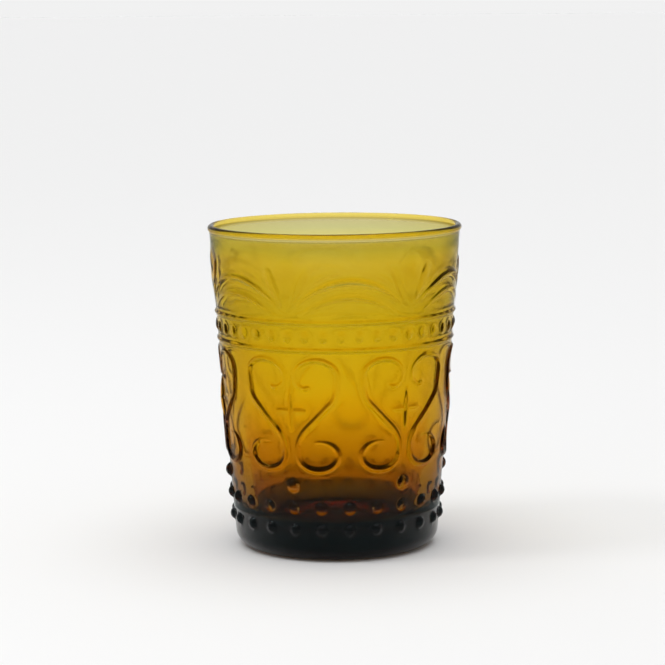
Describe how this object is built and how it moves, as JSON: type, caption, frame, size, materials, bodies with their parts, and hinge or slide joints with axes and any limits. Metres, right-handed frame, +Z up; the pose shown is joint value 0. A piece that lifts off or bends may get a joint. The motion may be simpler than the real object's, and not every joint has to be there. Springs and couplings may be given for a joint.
{
  "type": "water glass",
  "caption": "Tapered amber pressed-glass tumbler with a thick base, a rounded lip and raised hearts, palmettes, arches and beads; holds a drink and stands on a table.",
  "frame": {"origin": "centre of the base on the table", "axes": "+Z up along the axis of the glass, one heart faces -Y"},
  "size_m": [0.08, 0.08, 0.102],
  "materials": {
    "amber_glass": "polished"
  },
  "bodies": {
    "root": {"base": "amber_glass", "wall": "amber_glass", "lip": "amber_glass", "upper_ring": "amber_glass", "lower_ring": "amber_glass", "band_beads": "amber_glass", "upper_arches": "amber_glass", "lower_arches": "amber_glass", "palmette_centre_leaves": "amber_glass", "palmette_side_leaves": "amber_glass", "palmette_outer_leaves": "amber_glass", "left_heart_scrolls": "amber_glass", "right_heart_scrolls": "amber_glass", "heart_fleurons": "amber_glass", "drop_beads": "amber_glass", "upper_foot_beads": "amber_glass", "lower_foot_beads": "amber_glass"}
  },
  "joints": []
}
